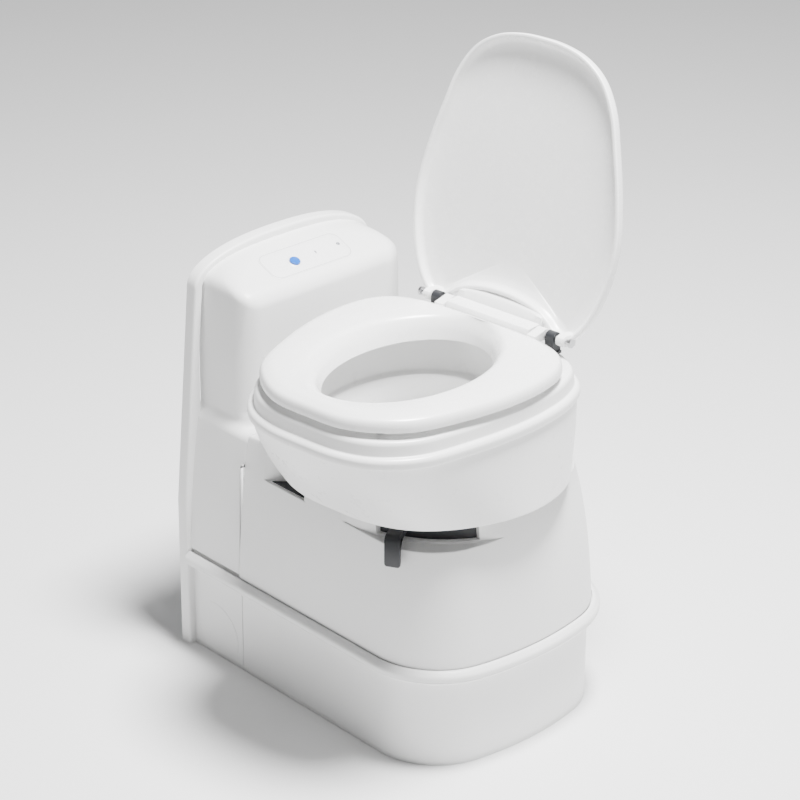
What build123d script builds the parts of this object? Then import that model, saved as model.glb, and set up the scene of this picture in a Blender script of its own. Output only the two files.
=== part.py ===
from build123d import *
import math
import os

os.makedirs("parts", exist_ok=True)

# ---------------------------------------------------------------------------
# Frame: millimetres, +Z up, floor at Z = 0, wall plane at Y = 0, front toward
# -Y, base symmetric about X = 0.  The bowl turns about a vertical axis at
# (0, AXIS_Y) and is drawn turned so that the seat's front points toward -X.
# ---------------------------------------------------------------------------
AXIS_Y = -345.0        # swivel axis of the bowl
BOWL_TURN = 186.0      # direction of the seat's front in the rest pose, degrees
WALL = 3.0             # moulding thickness

# base
PLINTH_W = 182.0       # half-width of the plinth
PLINTH_L = 542.0       # depth of the plinth from the wall
PLINTH_Z = 139.0       # underside of the bumper bead
BEAD_Z = 157.0         # top of the bumper bead
BEAD_OUT = 18.0        # how far the bead stands out from the plinth
SEAM_Y = -131.0        # joint between console and front housing
DECK_Z = 364.0         # top deck of the front housing
LEDGE_Z = 328.0        # ledge the flush lever travels over
HOLE_R = 128.0         # opening in the deck for the bowl
SHOULDER_Z = 379.0     # rear shoulders of the front housing
FLANGE_T = 20.0        # depth of the wall flange
TOP_Z = 620.0          # top of the wall flange

# bowl unit, heights
SKIRT_Z = 369.0
SKIRT_TOP_Z = 484.0
RIM_Z = 499.0
STEP_Z = 521.0
SEAT_Z = 530.0
SEAT_TOP = 552.0
SEAT_LIP_Z = 515.0
HINGE_U = -122.0
HINGE_Z = 545.0
LID_OPEN = 102.0       # opening angle of the lid in the rest pose
OUTLET_R = 50.0
NECK_Z = 274.0

# cassette
CAS_W = 164.0          # half-width
CAS_Y0 = -432.0        # front end
CAS_Y1 = -34.0         # rear end
CAS_Z0 = 14.0
CAS_Z1 = 236.0
DRUM_R = 72.0          # pitch radius of the lever drum's toothed sector
BLADE_GEAR_R = 48.0    # pitch radius of the blade's toothed sector
BLADE_R = 55.0


def put(shape):
    """Bowl coordinates (u forward, v left, origin on the axis) to the shared frame."""
    return Location((0, AXIS_Y, 0), (0, 0, BOWL_TURN)) * shape


def at_axis(shape):
    return Location((0, AXIS_Y, 0)) * shape


def save(name, shape):
    export_step(shape, "parts/" + name + ".step")


def group(parts):
    return Compound(children=list(parts))


def cyl(r, z0, z1, x=0.0, y=0.0):
    return Location((x, y, (z0 + z1) / 2)) * Cylinder(r, z1 - z0)


def tube(r1, r0, z0, z1, x=0.0, y=0.0):
    return cyl(r1, z0, z1, x, y) - cyl(r0, z0 - 1, z1 + 1, x, y)


def block(x0, x1, y0, y1, z0, z1):
    c = Location(((x0 + x1) / 2, (y0 + y1) / 2, (z0 + z1) / 2))
    return c * Box(x1 - x0, y1 - y0, z1 - z0)


def plate(face, z0, z1):
    """A plan face (drawn at Z = 0) extruded between two heights."""
    return extrude(Location((0, 0, z0)) * face, z1 - z0, dir=(0, 0, 1))


def soft(shape, edges, radius):
    """Fillet that falls back to smaller radii."""
    for r in (radius, radius * 0.7, radius * 0.45):
        try:
            out = fillet(edges, r)
            if out.is_valid:
                return out
        except Exception:
            continue
    return shape


# ---------------------------------------------------------------------------
# Outlines
# ---------------------------------------------------------------------------
def front_outline(w, length, r1, r2, y_back):
    """Plan outline of the front: straight sides, round corners and a bowed front."""
    c0 = -length + r2
    cx = w - r1
    cy = c0 - math.sqrt((r2 - r1) ** 2 - cx ** 2)
    d = math.hypot(cx, cy - c0)
    tx, ty = cx * r2 / d, c0 + (cy - c0) * r2 / d
    a0, a1 = 0.0, math.atan2(ty - cy, tx - cx)
    am = (a0 + a1) / 2
    mx, my = cx + r1 * math.cos(am), cy + r1 * math.sin(am)
    left = Line((-w, y_back), (-w, cy))
    arc_l = ThreePointArc((-w, cy), (-mx, my), (-tx, ty))
    arc_f = ThreePointArc((-tx, ty), (0, -length), (tx, ty))
    arc_r = ThreePointArc((tx, ty), (mx, my), (w, cy))
    right = Line((w, cy), (w, y_back))
    back = Line((w, y_back), (-w, y_back))
    return make_face([left, arc_l, arc_f, arc_r, right, back])


def plinth(off, y_back=SEAM_Y):
    return front_outline(PLINTH_W + off, PLINTH_L + off, 107.0 + off, 468.0 + off, y_back)


# heights and plan sizes of the tapering upper shell: z, w, length, r1, r2
SHELL = [
    (BEAD_Z, 187.0, 547.0, 112.0, 473.0),
    (230.0, 183.5, 541.0, 110.0, 468.0),
    (300.0, 176.5, 530.0, 108.0, 460.0),
    (345.0, 170.5, 519.0, 106.0, 450.0),
    (362.0, 168.0, 512.0, 104.0, 445.0),
    (SHOULDER_Z, 160.0, 500.0, 96.0, 436.0),
]


def shell_solid(inset, z_cut=0.0):
    """Upper shell between the bead and the shoulders, shrunk by a wall thickness."""
    faces = []
    for z, w, length, r1, r2 in SHELL:
        f = front_outline(w - inset, length - inset, r1 - inset, r2 - inset, SEAM_Y + z_cut)
        faces.append(Location((0, 0, z)) * f)
    return loft(faces, ruled=True)


def console_arch(inset):
    """Front view (X-Z) of the wall flange: upright sides and a flattened arched top."""
    n, ws, zs, wf, low = 2.33, 165.0 - inset, 564.0, 193.0 - inset, 236.0
    pts = []
    for i in range(0, 9):
        t = math.pi * i / 8
        c, s = math.cos(t), math.sin(t)
        x = -math.copysign(abs(c) ** (2 / n), c) * ws
        pts.append((x, zs + (TOP_Z - inset - zs) * abs(s) ** (2 / n)))
    left = Polyline((-wf, 0), (-wf, low), pts[0])
    arcs = [ThreePointArc(pts[i], pts[i + 1], pts[i + 2]) for i in (0, 2, 4, 6)]
    right = Polyline(pts[8], (wf, low), (wf, 0))
    return make_face([left] + arcs + [right, Line((wf, 0), (-wf, 0))])


def arch_solid(inset, y0, y1):
    """The arched outline extruded from y0 toward the room to y1 (y1 < y0)."""
    return extrude(Plane((0, y0, 0), x_dir=(1, 0, 0), z_dir=(0, -1, 0)) * console_arch(inset), y0 - y1)


def console_side(t, y_back):
    """Side profile (Y-Z) of the console: upright front, rounded, sloping control panel."""
    pts = [(y_back, SHOULDER_Z - 6), (-131 + t, SHOULDER_Z - 6), (-131 + t, SHOULDER_Z),
           (-117 + t, 400), (-114 + t, 574 - 0.4 * t), (-20, 611 - t), (y_back, 611 - t)]
    prof = make_face(Polyline(*pts, close=True))
    corner = prof.vertices().sort_by_distance((-114 + t, 574 - 0.4 * t, 0))[0]
    prof = fillet([corner], 20.0 - t)
    pl = Plane((-200, 0, 0), x_dir=(0, 1, 0), z_dir=(1, 0, 0))
    return extrude(pl * prof, 400)


def console_plan(t, y_back):
    """Plan of the console above the deck: sides drawn in toward the room."""
    pts = [(-168 + t, y_back), (-161 + t, -90), (-140 + t, -131 + t), (140 - t, -131 + t),
           (161 - t, -90), (168 - t, y_back)]
    f = make_face(Polyline(*pts, close=True))
    vs = [v for v in f.vertices() if v.Y < -100]
    f = fillet(vs, 26.0 - t)
    vs = [v for v in f.vertices() if -95 < v.Y < -85]
    return fillet(vs, 20.0) if vs else f


def console_upper(t, y_back=0.0):
    a = arch_solid(9.0 + t, y_back, -140)
    return a & console_side(t, y_back) & plate(console_plan(t, y_back), 300, 640)


# half-width of the console's lower box against height
BAY = [(0.0, 182.0), (157.0, 182.0), (163.0, 186.6), (230.0, 183.5), (300.0, 176.5), (345.0, 170.5),
       (SHOULDER_Z, 168.0)]


def bay_half(z):
    for (z0, w0), (z1, w1) in zip(BAY, BAY[1:]):
        if z0 <= z <= z1:
            return w0 + (w1 - w0) * (z - z0) / (z1 - z0)
    return BAY[0][1] if z < 0 else BAY[-1][1]


def bay_prism(inset, z0, z1, y0, y1):
    """The console's lower box between two heights, in line with the housing's sides."""
    zs = [z0] + [z for z, _ in BAY if z0 < z < z1] + [z1]
    pts = [(bay_half(z) - inset, z) for z in zs]
    pts = pts + [(-x, z) for x, z in reversed(pts)]
    pl = Plane((0, y0, 0), x_dir=(1, 0, 0), z_dir=(0, -1, 0))
    return extrude(pl * make_face(Polyline(*pts, close=True)), y0 - y1)


def outline_uv(pts, off=0.0):
    """Closed smooth outline in bowl coordinates from its left half (front to back),
    moved out by off along its own normals."""
    ring = list(pts) + [(u, -v) for u, v in reversed(pts[1:-1])]
    if off:
        n = len(ring)
        moved = []
        for i in range(n):
            (ax, ay), (bx, by) = ring[i - 1], ring[(i + 1) % n]
            d = math.hypot(bx - ax, by - ay)
            moved.append((ring[i][0] + off * (by - ay) / d, ring[i][1] - off * (bx - ax) / d))
        ring = moved
    return make_face(Spline(ring, periodic=True))


RIM = [(280, 0), (277, 62), (258, 118), (207, 156), (140, 176), (70, 190), (0, 194),
       (-62, 186), (-112, 162), (-142, 112), (-152, 55), (-154, 0)]
SKIRT_LOW = [(212, 0), (210, 52), (194, 104), (161, 146), (110, 180), (52, 200), (-5, 202),
             (-58, 188), (-100, 158), (-130, 112), (-143, 55), (-146, 0)]
SKIRT_MID = [(256, 0), (253, 58), (233, 114), (186, 152), (124, 176), (55, 189), (-10, 193),
             (-62, 184), (-108, 158), (-136, 112), (-147, 55), (-149, 0)]


def rim(off):
    return outline_uv(RIM, off)


# ---------------------------------------------------------------------------
# Base: front housing
# ---------------------------------------------------------------------------
def make_front_housing():
    outer = plate(plinth(0), 0, BEAD_Z) + shell_solid(0)
    inner = plate(plinth(-WALL, SEAM_Y + 1), -1, BEAD_Z) + shell_solid(WALL, 1)
    inner = inner & block(-250, 250, -600, 0, -1, DECK_Z - WALL)
    body = outer - inner
    # joggle joining the plinth wall to the wider upper shell
    body = body + (plate(plinth(4), BEAD_Z, BEAD_Z + 3) - plate(plinth(-WALL, SEAM_Y + 1), BEAD_Z - 1, BEAD_Z + 4))
    # dished top the bowl turns in
    body = body - at_axis(cyl(226, DECK_Z, DECK_Z + 40))
    # turned step at the near corner, for the lever
    corner = at_axis(cyl(300, LEDGE_Z, DECK_Z + 30) - cyl(163, LEDGE_Z - 1, DECK_Z + 31))
    wedge = at_axis(plate(sector(320, 181, 253), LEDGE_Z - 5, DECK_Z + 31))
    body = body - (corner & wedge)
    # floor and inner wall that close the step
    ring = at_axis(cyl(163, LEDGE_Z - WALL, DECK_Z) - cyl(160, LEDGE_Z - WALL - 1, DECK_Z + 1))
    ring = ring & at_axis(plate(sector(320, 179, 255), LEDGE_Z - 10, DECK_Z + 1))
    floor = at_axis(plate(sector(320, 179, 255), LEDGE_Z - WALL, LEDGE_Z)) - at_axis(cyl(160, 0, 500))
    solid = plate(plinth(-1), 0, BEAD_Z) + shell_solid(0.6)
    body = body + ((ring + floor) & solid)
    # finger scoop at the side, beside the console
    scoop = block(-260, -128, -262, -168, LEDGE_Z - 6, DECK_Z + 60)
    pan = block(-260, -125, -265, -165, LEDGE_Z - 9, DECK_Z) & solid
    body = (body + (pan & block(-260, 0, -300, -100, 0, DECK_Z))) - scoop
    # opening for the bowl's neck, slot for the lever arm
    body = body - at_axis(cyl(HOLE_R, DECK_Z - 60, DECK_Z + 40))
    body = body - at_axis(plate(sector(170, 200, 254) - Circle(150), 343, 354.6))
    body = body - at_axis(plate(sector(150, 190, 262), 343, DECK_Z - WALL))
    for x in (-150, 150):
        body = body - cyl(3.2, -5, 400, x, -470)
    body = body & block(-250, 250, -600, SEAM_Y, 0, 400)
    lug = block(-168, -130, -490, -452, 0, 5)
    lugs = (lug + lug.mirror(Plane.YZ)) - cyl(3.2, -5, 30, -150, -470) - cyl(3.2, -5, 30, 150, -470)
    body = body + (lugs & plate(plinth(-1), 0, 10))
    return max(body.solids(), key=lambda q: q.volume)


def sector(r, a0, a1):
    """Plan pie slice between two angles in degrees."""
    n = max(2, int((a1 - a0) / 20) + 1)
    pts = [(0, 0)]
    for i in range(n + 1):
        a = math.radians(a0 + (a1 - a0) * i / n)
        pts.append((1.25 * r * math.cos(a), 1.25 * r * math.sin(a)))
    return make_face(Polyline(*pts, close=True)) & Circle(r)


def make_bead():
    """Bumper bead round the front housing and both sides of the console."""
    out = None
    for off, z0, z1 in ((BEAD_OUT - 3, PLINTH_Z, PLINTH_Z + 2.5), (BEAD_OUT, PLINTH_Z + 2.5, PLINTH_Z + 10),
                        (BEAD_OUT - 2.5, PLINTH_Z + 10, PLINTH_Z + 14), (BEAD_OUT - 8, PLINTH_Z + 14, BEAD_Z)):
        layer = plate(front_outline(PLINTH_W + off, PLINTH_L + off, 107.0 + off, 468.0 + off, -FLANGE_T), z0, z1)
        out = layer if out is None else out + layer
    core = plate(front_outline(PLINTH_W, PLINTH_L, 107.0, 468.0, 10), PLINTH_Z - 5, BEAD_Z + 5)
    core = core + block(-PLINTH_W, PLINTH_W, SEAM_Y - 1, 10, 0, 300)
    return out - core


# ---------------------------------------------------------------------------
# Base: rear console with wall flange
# ---------------------------------------------------------------------------
def make_console():
    flange = arch_solid(0, 0, -FLANGE_T)
    flange = soft(flange, flange.faces().sort_by(Axis.Y)[0].edges().filter_by(lambda e: e.center().Z > 1), 5)
    body = flange + bay_prism(0, 0, SHOULDER_Z, 0, SEAM_Y) + console_upper(0)
    # hollow: bay open to the housing below, closed front above the sill
    body = body - bay_prism(WALL, -1, 335, 5, SEAM_Y - 5)
    body = body - bay_prism(WALL, 330, SHOULDER_Z - WALL, 5, SEAM_Y + WALL)
    body = body - console_upper(WALL, 5)
    # sill strip that ties the two sides at the floor
    body = body + block(-181, 181, -FLANGE_T, 0, 0, 3)
    # recess for the control panel
    body = body - panel_at(Box(154, 58, 3.0), LABEL_X, 1.4, LABEL_UP)
    body = body - panel_at(Cylinder(9.2, 12), BUTTON_X, 0, BUTTON_UP)
    body = body - panel_at(Cylinder(3.1, 12), LENS_X, 0, LENS_UP)
    # inner lugs for the wall screws
    for x, z in screw_spots():
        lug = block(abs(x) - 6, bay_half(z) - WALL + 1, -14, -2, z - 8, z + 8)
        body = body + (lug if x > 0 else lug.mirror(Plane.YZ))
    for x, z in screw_spots():
        body = body - Location((x, -10, z), (90, 0, 0)) * Cylinder(2.6, 60)
    return max(body.solids(), key=lambda q: q.volume)


def screw_spots():
    return [(-172.6, 100), (172.6, 100), (-166.0, 300), (166.0, 300)]


PANEL_Y = -66.0                     # centre of the sloping control panel
BUTTON_X, BUTTON_UP = -27.7, -9.9   # flush button, across and up the slope
LENS_X, LENS_UP = 59.0, -4.5
LABEL_X, LABEL_UP = -4.0, -6.0
PANEL_TILT = math.degrees(math.atan2(611 - 574, 114 - 20))


def panel_at(shape, x, dz, up=0.0):
    """Place a shape on the sloping control panel; dz is the height over its surface."""
    a = math.radians(PANEL_TILT)
    y = PANEL_Y - math.sin(a) * dz + math.cos(a) * up
    z = panel_height() + math.cos(a) * dz + math.sin(a) * up
    return Location((x, y, z), (PANEL_TILT, 0, 0)) * shape


def panel_height():
    return 574 + (611 - 574) * (PANEL_Y + 114) / 94.0


# ---------------------------------------------------------------------------
# Bowl unit
# ---------------------------------------------------------------------------
def egg(cu, a, b, z):
    """Ellipse in bowl coordinates centred at u = cu."""
    return Location((cu, 0, z)) * Ellipse(a, b)


BASIN = [(512.0, 60.0, 178.0, 142.0), (470.0, 56.0, 168.0, 134.0), (430.0, 44.0, 148.0, 120.0),
         (395.0, 18.0, 116.0, 104.0), (360.0, 5.0, 95.0, 91.0), (320.0, 0.0, 72.0, 71.0),
         (292.0, 0.0, 53.0, 53.0), (NECK_Z, 0.0, 53.0, 53.0)]


def make_basin():
    outer = loft([egg(c, a, b, z) for z, c, a, b in BASIN], ruled=True)
    inner = loft([egg(c, a - WALL, b - WALL, z) for z, c, a, b in BASIN], ruled=True)
    lip = plate(egg(60, 186, 150, 0) - egg(60, 176, 140, 0), 509, 512)
    body = outer - inner - plate(egg(60, 174.5, 138.5, 0), 511, 520) - cyl(OUTLET_R, NECK_Z - 2, 300)
    return put(body + lip)


def make_skirt():
    """Outer skirt and stepped rim of the bowl in one moulding."""
    low = loft([Location((0, 0, SKIRT_Z)) * outline_uv(SKIRT_LOW),
                Location((0, 0, 440)) * outline_uv(SKIRT_MID[:6] + SKIRT_MID[7:]),
                Location((0, 0, SKIRT_TOP_Z)) * outline_uv(RIM[:6] + RIM[7:], -4)])
    out = low + plate(rim(-1.5), SKIRT_TOP_Z, SKIRT_TOP_Z + 3) + plate(rim(0), SKIRT_TOP_Z + 3, RIM_Z - 3)
    out = out + plate(rim(-2.5), RIM_Z - 3, RIM_Z) + plate(rim(-9.5), RIM_Z, STEP_Z - 3)
    out = out + plate(rim(-12), STEP_Z - 3, STEP_Z)
    return out


def make_bowl_shell():
    body = make_skirt()
    body = body - plate(rim(-15.5), SKIRT_TOP_Z - 6, STEP_Z - 4)
    body = body - loft([Location((0, 0, SKIRT_Z + 3)) * outline_uv(SKIRT_LOW, -4.5),
                        Location((0, 0, 440)) * outline_uv(SKIRT_MID[:6] + SKIRT_MID[7:], -4),
                        Location((0, 0, SKIRT_TOP_Z - 5)) * outline_uv(RIM[:6] + RIM[7:], -9)])
    body = body - plate(egg(60, 179, 143, 0), STEP_Z - 10, STEP_Z + 5)
    body = body - cyl(124.5, SKIRT_Z - 5, SKIRT_Z + 10)
    return put(body)


# hinge posts on the rim's back
POSTS = (-104.0, 104.0)


def make_hinge_posts():
    out = []
    for v in POSTS:
        p = block(HINGE_U - 9, HINGE_U + 9, v - 7, v + 7, STEP_Z, HINGE_Z)
        p = p + Location((HINGE_U, v, HINGE_Z), (90, 0, 0)) * Cylinder(9, 14)
        foot = block(HINGE_U - 9, HINGE_U + 14, v - 12, v + 9, STEP_Z, STEP_Z + 4)
        hole = Location((HINGE_U, v, HINGE_Z), (90, 0, 0)) * Cylinder(4.05, 60)
        out.append(put((p + foot) - hole))
    return group(out)


def make_hinge_pins():
    out = []
    for s in (-1, 1):
        pin = Location((HINGE_U, s * 104, HINGE_Z), (90, 0, 0)) * Cylinder(4.0, 62)
        head = Location((HINGE_U, s * 136.0, HINGE_Z), (90, 0, 0)) * Cylinder(6.5, 4)
        out.append(put(pin + head))
    return group(out)


def make_turn_collar():
    """Collar under the bowl: flange on the bearing ring, barrel through the deck."""
    body = tube(123, 118.5, 355, 374) + tube(152, 118.5, 366.45, 368.95)
    return at_axis(body)


# ---------------------------------------------------------------------------
# Seat and lid (drawn closed, lid opened about the hinge)
# ---------------------------------------------------------------------------
SEAT = [(268, 0), (265, 58), (244, 110), (200, 144), (140, 167), (72, 183), (5, 186),
        (-50, 174), (-86, 146), (-100, 106), (-103, 60), (-103, 0)]
LID = [(275, 0), (273, 36), (263, 76), (240, 112), (200, 140), (150, 158), (90, 171), (30, 176),
       (-20, 172), (-66, 158), (-104, 136), (-126, 100), (-133, 55), (-134, 0)]


def make_seat():
    o = outline_uv(SEAT)
    body = plate(outline_uv(SEAT, -1.5), SEAT_Z, SEAT_Z + 3) + plate(o, SEAT_Z + 3, SEAT_TOP - 7)
    body = body + plate(outline_uv(SEAT, -3), SEAT_TOP - 7, SEAT_TOP - 3)
    body = body + plate(outline_uv(SEAT, -9), SEAT_TOP - 3, SEAT_TOP)
    body = body + plate(egg(63, 143, 101, 0), SEAT_LIP_Z, SEAT_Z + 12)
    hole = loft([egg(63, 138, 96, SEAT_LIP_Z - 0.01), egg(66, 143, 102, SEAT_Z + 5),
                 egg(72, 163, 118, SEAT_TOP + 0.01)], ruled=True)
    body = body - hole
    # hollow underside
    under = plate(outline_uv(SEAT, -5), SEAT_Z - 1, SEAT_Z + 9)
    under = under - plate(egg(70, 163, 118, 0), SEAT_Z - 2, SEAT_Z + 10)
    body = body - under
    # hinge arms
    for s in (-1, 1):
        arm = block(HINGE_U, -96, s * 84 - 8, s * 84 + 8, HINGE_Z - 8, HINGE_Z + 5)
        eye = Location((HINGE_U, s * 84, HINGE_Z), (90, 0, 0)) * Cylinder(9, 16)
        hole = Location((HINGE_U, s * 84, HINGE_Z), (90, 0, 0)) * Cylinder(4.05, 40)
        body = body + arm + eye - hole
    return put(body)


def lid_turn(shape):
    """Open the closed lid about the hinge axis, then place it."""
    h = Location((HINGE_U, 0, HINGE_Z))
    return put(h * Location((0, 0, 0), (0, -LID_OPEN, 0)) * h.inverse() * shape)


def make_lid():
    o = outline_uv(LID)
    z0 = HINGE_Z + 10.5
    body = plate(o, z0, z0 + 14) + plate(outline_uv(LID, -2), z0 + 14, z0 + 18)
    body = body + plate(outline_uv(LID, -6), z0 + 18, z0 + 21)
    body = body - plate(outline_uv(LID, -3.2), z0 - 1, z0 + 14.5)
    body = body - plate(outline_uv(LID, -9), z0 + 14, z0 + 17.8)
    body = body - block(-160, -116, -113, 113, z0 - 5, z0 + 30) - block(-160, -102, -75, 75, z0 - 5, z0 + 30)
    for s in (-1, 1):
        lug = Location((HINGE_U, s * 121, HINGE_Z), (90, 0, 0)) * Cylinder(9, 14)
        web = block(HINGE_U - 9, HINGE_U + 9, s * 121 - 7, s * 121 + 7, HINGE_Z, z0 + 15)
        hole = Location((HINGE_U, s * 121, HINGE_Z), (90, 0, 0)) * Cylinder(4.05, 40)
        body = body + ((lug + web) - hole)
    return lid_turn(body)


def make_hinge_cover():
    """Raised cover over the hinge between the posts, behind the seat."""
    barrel = Location((HINGE_U, 0, HINGE_Z), (90, 0, 0)) * Cylinder(16, 146)
    return put(barrel + block(HINGE_U - 16, HINGE_U + 16, -73, 73, STEP_Z, HINGE_Z))


def make_pads(z0, z1, spots, r, turn=None):
    out = []
    for u, v in spots:
        c = cyl(r, z0, z1, u, v)
        out.append(lid_turn(c) if turn else put(c))
    return group(out)


# ---------------------------------------------------------------------------
# Flush lever and its drum, blade and mechanism
# ---------------------------------------------------------------------------
TOOTH_ARC = 5.0 * math.pi      # pitch of the teeth along the pitch circle


def gear(r, x, y, z0, z1, phase, first, last, bore):
    """Toothed sector of pitch radius r; phase is the angle of tooth 0 in degrees."""
    body = cyl(r - 7.5, z0, z1, x, y)
    for i in range(first, last + 1):
        a = phase + math.degrees(TOOTH_ARC / r) * i
        t = make_face(Polyline((r - 9, -4.4), (r, -3.3), (r + 4, -1.7), (r + 4, 1.7),
                               (r, 3.3), (r - 9, 4.4), close=True))
        body = body + Location((x, y, z0), (0, 0, a)) * extrude(t, z1 - z0)
    return body - cyl(bore, z0 - 1, z1 + 1, x, y)


LEVER_A = 210.5        # direction of the lever in the rest pose, degrees


def make_lever_drum():
    """Drum that turns round the basin: top ring, barrel, lower toothed ring."""
    body = tube(117.5, 114.5, 286, 352) + tube(117.5, 54.5, 284, 288)
    body = body + (gear(DRUM_R, 0, 0, 276, 284.5, 90, -4, 2, 54.5))
    body = body + tube(126, 114.5, 343.6, 347.6)
    body = body + (Location((0, 0, 0), (0, 0, LEVER_A)) * block(120, 158, -11, 11, 344.2, 353.4))
    return at_axis(body)


def make_lever_tab():
    """Dark thumb tab outside the housing."""
    arm = block(158, 214, -11, 11, 344.2, 353.4)
    tab = block(207, 216, -11, 11, 306, 353.4)
    tab = soft(tab, tab.edges().filter_by(Axis.X), 5)
    return at_axis(Location((0, 0, 0), (0, 0, LEVER_A)) * (arm + tab))


PIVOT_Y = AXIS_Y + DRUM_R + BLADE_GEAR_R


def make_blade():
    """Sealing blade, its arm, pivot shaft and toothed sector."""
    disc = cyl(BLADE_R, 243, 246, 0, AXIS_Y)
    arm = block(-14, 14, AXIS_Y + 30, PIVOT_Y, 243, 246)
    hub = cyl(14, 243, 276, 0, PIVOT_Y)
    half = math.degrees(TOOTH_ARC / BLADE_GEAR_R) / 2
    g = gear(BLADE_GEAR_R, 0, PIVOT_Y, 276, 283, -90 + half, -3, 3, 5.05)
    body = disc + arm + hub + g
    return body - cyl(5.05, 240, 290, 0, PIVOT_Y)


def make_mechanism():
    """Plate on the tank's mouth, pivot pin, seal carrier on three posts."""
    base = cyl(70, CAS_Z1, CAS_Z1 + 4, 0, AXIS_Y) + block(-24, 24, AXIS_Y + 50, PIVOT_Y + 22, CAS_Z1, CAS_Z1 + 4)
    base = base - cyl(OUTLET_R, CAS_Z1 - 1, CAS_Z1 + 6, 0, AXIS_Y)
    top = tube(70, 54, 250, 254, 0, AXIS_Y)
    body = base + top
    for a in (0, 315, 270):
        x, y = 64 * math.cos(math.radians(a)), AXIS_Y + 64 * math.sin(math.radians(a))
        body = body + cyl(5, CAS_Z1 + 3, 251, x, y)
    return body + cyl(5.0, CAS_Z1 + 2, 283, 0, PIVOT_Y)


def make_lip_seal():
    """Rubber lip between the bowl's neck and the blade."""
    return tube(60, 49, 254, 258, 0, AXIS_Y) + tube(57, 49, 258, 273.4, 0, AXIS_Y)


# ---------------------------------------------------------------------------
# Cassette
# ---------------------------------------------------------------------------
def make_tank():
    outer = block(-CAS_W, CAS_W, CAS_Y0, CAS_Y1, CAS_Z0, CAS_Z1)
    outer = fillet(outer.edges().filter_by(Axis.Z), 34)
    outer = soft(outer, outer.faces().sort_by(Axis.Z)[0].edges(), 14)
    inner = block(-CAS_W + 3, CAS_W - 3, CAS_Y0 + 3, CAS_Y1 - 3, CAS_Z0 + 3, CAS_Z1 - 3)
    inner = fillet(inner.edges().filter_by(Axis.Z), 31)
    body = outer - inner
    body = body - cyl(OUTLET_R, CAS_Z1 - 10, CAS_Z1 + 5, 0, AXIS_Y)
    # neck of the pour-out spout, vent bore and grip recess
    body = body + tube(24, 20, CAS_Z1 - 2, CAS_Z1 + 14, SPOUT_X, SPOUT_Y)
    body = body - cyl(20, CAS_Z1 - 12, CAS_Z1 + 20, SPOUT_X, SPOUT_Y)
    body = body + tube(11, 6.05, CAS_Z1 - 2, CAS_Z1 + 9, VENT_X, VENT_Y)
    body = body - cyl(6.05, CAS_Z1 - 12, CAS_Z1 + 20, VENT_X, VENT_Y)
    for s in (-1, 1):
        arch = block(s * (CAS_W - 11) - 12, s * (CAS_W - 11) + 12, WHEEL_Y - 24, WHEEL_Y + 24, 0, 48)
        liner = block(s * (CAS_W - 11) - 15, s * (CAS_W - 11) + 15, WHEEL_Y - 27, WHEEL_Y + 27, 0, 51) & outer
        body = (body + liner) - arch
        body = body + Location((s * (CAS_W - 25), WHEEL_Y, WHEEL_Z), (0, 90, 0)) * Cylinder(3.0, 6)
        body = body + Location((s * (CAS_W - 15), WHEEL_Y, WHEEL_Z), (0, 90, 0)) * Cylinder(3.0, 20)
        lug = block(s * 62 - 9, s * 62 + 9, CAS_Y1 - 1, CAS_Y1 + 14, 184, 202)
        lug = lug - Location((s * 62, CAS_Y1 + 8, 193), (0, 90, 0)) * Cylinder(3.28, 30)
        body = body + lug
        ear = block(-66, -54, -300 + s * 6.2 - 1.8, -300 + s * 6.2 + 1.8, 204, CAS_Z1 - 2)
        body = body + ear
    body = body + Location((-60, -300, 210.5), (90, 0, 0)) * Cylinder(2.5, 14)
    return body


SPOUT_X, SPOUT_Y = 118.0, -84.0
VENT_X, VENT_Y = -60.0, -90.0
WHEEL_Y = -392.0
WHEEL_Z = 24.0


def make_wheel(s):
    w = Location((s * (CAS_W - 12), WHEEL_Y, WHEEL_Z), (0, 90, 0)) * Cylinder(20, 12)
    rim_edges = w.edges().filter_by(GeomType.CIRCLE)
    w = soft(w, rim_edges, 3)
    return w - Location((s * (CAS_W - 12), WHEEL_Y, WHEEL_Z), (0, 90, 0)) * Cylinder(3.05, 20)


def make_spout():
    """Swivelling pour-out spout: cup over the neck and a lying tube."""
    x, y = SPOUT_X, SPOUT_Y
    cup = tube(28, 24.05, CAS_Z1 + 3, CAS_Z1 + 15, x, y) + cyl(28, CAS_Z1 + 14.4, CAS_Z1 + 17.4, x, y)
    top = tube(24, 20, CAS_Z1 + 16, CAS_Z1 + 40, x, y) + cyl(24, CAS_Z1 + 38, CAS_Z1 + 46, x, y)
    pipe = Location((x - 60, y, CAS_Z1 + 38), (0, 90, 0)) * Cylinder(20, 120)
    bore = Location((x - 62, y, CAS_Z1 + 38), (0, 90, 0)) * Cylinder(17, 124)
    body = (cup + top + pipe) - bore - cyl(17, CAS_Z1 + 10, CAS_Z1 + 38, x, y)
    return body


def make_spout_cap():
    x, y = SPOUT_X - 116, SPOUT_Y
    c = Location((x, y, CAS_Z1 + 38), (0, 90, 0)) * (Cylinder(24, 18) - Location((0, 0, 4)) * Cylinder(20.06, 18))
    ribs = []
    for i in range(10):
        a = math.radians(36 * i)
        ribs.append(Location((x, y + 24 * math.cos(a), CAS_Z1 + 38 + 24 * math.sin(a)), (0, 90, 0)) * Cylinder(1.6, 16))
    for r in ribs:
        c = c + r
    return c


def make_vent():
    stem = cyl(6.0, CAS_Z1 - 14, CAS_Z1 + 20, VENT_X, VENT_Y)
    cap = cyl(10, CAS_Z1 + 18, CAS_Z1 + 24, VENT_X, VENT_Y)
    stop = cyl(9, CAS_Z1 - 10, CAS_Z1 - 6, VENT_X, VENT_Y)
    return stem + soft(cap, cap.edges(), 2) + stop


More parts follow.
